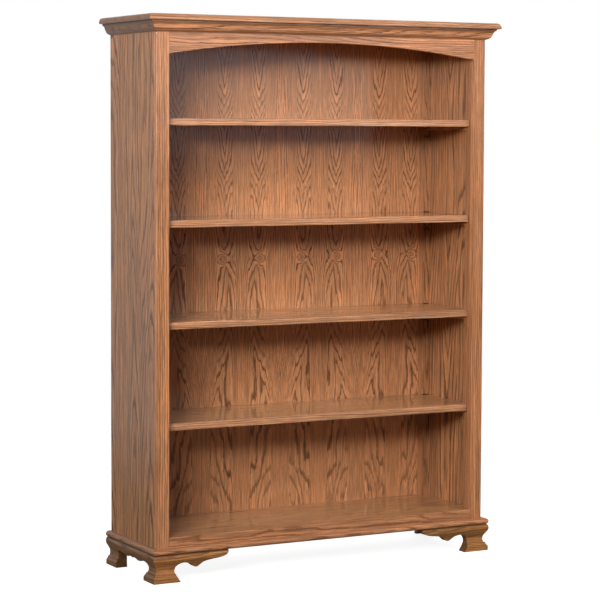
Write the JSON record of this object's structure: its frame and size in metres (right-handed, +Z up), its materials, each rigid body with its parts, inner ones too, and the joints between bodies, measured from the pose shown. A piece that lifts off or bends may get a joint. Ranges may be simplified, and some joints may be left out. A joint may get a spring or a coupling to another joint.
{
  "type": "bookcase with adjustable shelves",
  "caption": "Free-standing oak bookcase with an arched face frame, moulded crown, ogee bracket feet and adjustable shelves on cleats in notched strips.",
  "frame": {"origin": "on the floor, under the centre of the bookcase's bounding box", "axes": "+Z up; the open front faces -Y; +X is to the right seen from the front"},
  "size_m": [1.322, 0.412, 1.829],
  "materials": {
    "oak_face_frame": "satin lacquer over golden brown stain, straight red oak grain",
    "oak_sides": "satin lacquer over golden brown stain, glued-up boards with cathedral grain",
    "oak_back_veneer": "satin lacquer over bookmatched oak veneer",
    "oak_shelves": "semi-gloss lacquer over golden brown stain",
    "oak_crown": "satin lacquer over golden brown stain, grain along each moulding",
    "oak_base": "satin lacquer over golden brown stain, grain along each moulding",
    "oak_supports": "satin lacquer over golden brown stain, vertical grain",
    "hidden_wood": "bare planed hardwood",
    "fastener_steel": "plain zinc-plated steel"
  },
  "bodies": {
    "carcass": {"left_side_panel": "oak_sides", "right_side_panel": "oak_sides", "case_top_panel": "oak_shelves", "bottom_deck": "oak_shelves", "back_panel": "oak_back_veneer", "left_face_stile": "oak_face_frame", "right_face_stile": "oak_face_frame", "arched_top_rail": "oak_face_frame", "bottom_face_rail": "oak_face_frame", "face_frame_dowels": "hidden_wood", "crown_top_board": "oak_crown", "crown_moulding_front": "oak_crown", "crown_moulding_left": "oak_crown", "crown_moulding_right": "oak_crown", "crown_screws": "fastener_steel", "base_bead_front": "oak_base", "base_bead_left": "oak_base", "base_bead_right": "oak_base", "base_frame_front_rail": "hidden_wood", "base_frame_rear_rail": "hidden_wood", "base_frame_left_rail": "hidden_wood", "base_frame_right_rail": "hidden_wood", "front_left_foot_bracket": "oak_base", "front_right_foot_bracket": "oak_base", "left_side_foot_apron": "oak_base", "right_side_foot_apron": "oak_base", "rear_left_foot_bracket": "hidden_wood", "rear_right_foot_bracket": "hidden_wood", "foot_glue_blocks": "hidden_wood", "foot_screws": "fastener_steel", "left_front_notched_strip": "oak_supports", "left_rear_notched_strip": "oak_supports", "right_front_notched_strip": "oak_supports", "right_rear_notched_strip": "oak_supports", "notched_strip_brads": "fastener_steel", "back_panel_brads": "fastener_steel"},
    "shelf_1": {"shelf_1_panel": "oak_shelves", "shelf_1_front_edge": "oak_face_frame"},
    "shelf_2": {"shelf_2_panel": "oak_shelves", "shelf_2_front_edge": "oak_face_frame"},
    "shelf_3": {"shelf_3_panel": "oak_shelves", "shelf_3_front_edge": "oak_face_frame"},
    "shelf_4": {"shelf_4_panel": "oak_shelves", "shelf_4_front_edge": "oak_face_frame"},
    "shelf_1_left_cleat": {"shelf_1_left_cleat": "oak_supports"},
    "shelf_2_left_cleat": {"shelf_2_left_cleat": "oak_supports"},
    "shelf_3_left_cleat": {"shelf_3_left_cleat": "oak_supports"},
    "shelf_4_left_cleat": {"shelf_4_left_cleat": "oak_supports"},
    "shelf_1_right_cleat": {"shelf_1_right_cleat": "oak_supports"},
    "shelf_2_right_cleat": {"shelf_2_right_cleat": "oak_supports"},
    "shelf_3_right_cleat": {"shelf_3_right_cleat": "oak_supports"},
    "shelf_4_right_cleat": {"shelf_4_right_cleat": "oak_supports"}
  },
  "joints": [
    {"name": "shelf_1_lift", "type": "slide", "parent": "carcass", "child": "shelf_1", "axis": [0, 0, 1], "range_m": [0, 0.29]},
    {"name": "shelf_2_lift", "type": "slide", "parent": "carcass", "child": "shelf_2", "axis": [0, 0, 1], "range_m": [0, 0.29]},
    {"name": "shelf_3_lift", "type": "slide", "parent": "carcass", "child": "shelf_3", "axis": [0, 0, 1], "range_m": [0, 0.29]},
    {"name": "shelf_4_lift", "type": "slide", "parent": "carcass", "child": "shelf_4", "axis": [0, 0, 1], "range_m": [0, 0.29]},
    {"name": "shelf_1_left_cleat_pull", "type": "slide", "parent": "carcass", "child": "shelf_1_left_cleat", "axis": [1, 0, 0], "range_m": [0, 0.03]},
    {"name": "shelf_1_right_cleat_pull", "type": "slide", "parent": "carcass", "child": "shelf_1_right_cleat", "axis": [-1, 0, 0], "range_m": [0, 0.03]},
    {"name": "shelf_2_left_cleat_pull", "type": "slide", "parent": "carcass", "child": "shelf_2_left_cleat", "axis": [1, 0, 0], "range_m": [0, 0.03]},
    {"name": "shelf_2_right_cleat_pull", "type": "slide", "parent": "carcass", "child": "shelf_2_right_cleat", "axis": [-1, 0, 0], "range_m": [0, 0.03]},
    {"name": "shelf_3_left_cleat_pull", "type": "slide", "parent": "carcass", "child": "shelf_3_left_cleat", "axis": [1, 0, 0], "range_m": [0, 0.03]},
    {"name": "shelf_3_right_cleat_pull", "type": "slide", "parent": "carcass", "child": "shelf_3_right_cleat", "axis": [-1, 0, 0], "range_m": [0, 0.03]},
    {"name": "shelf_4_left_cleat_pull", "type": "slide", "parent": "carcass", "child": "shelf_4_left_cleat", "axis": [1, 0, 0], "range_m": [0, 0.03]},
    {"name": "shelf_4_right_cleat_pull", "type": "slide", "parent": "carcass", "child": "shelf_4_right_cleat", "axis": [-1, 0, 0], "range_m": [0, 0.03]}
  ]
}
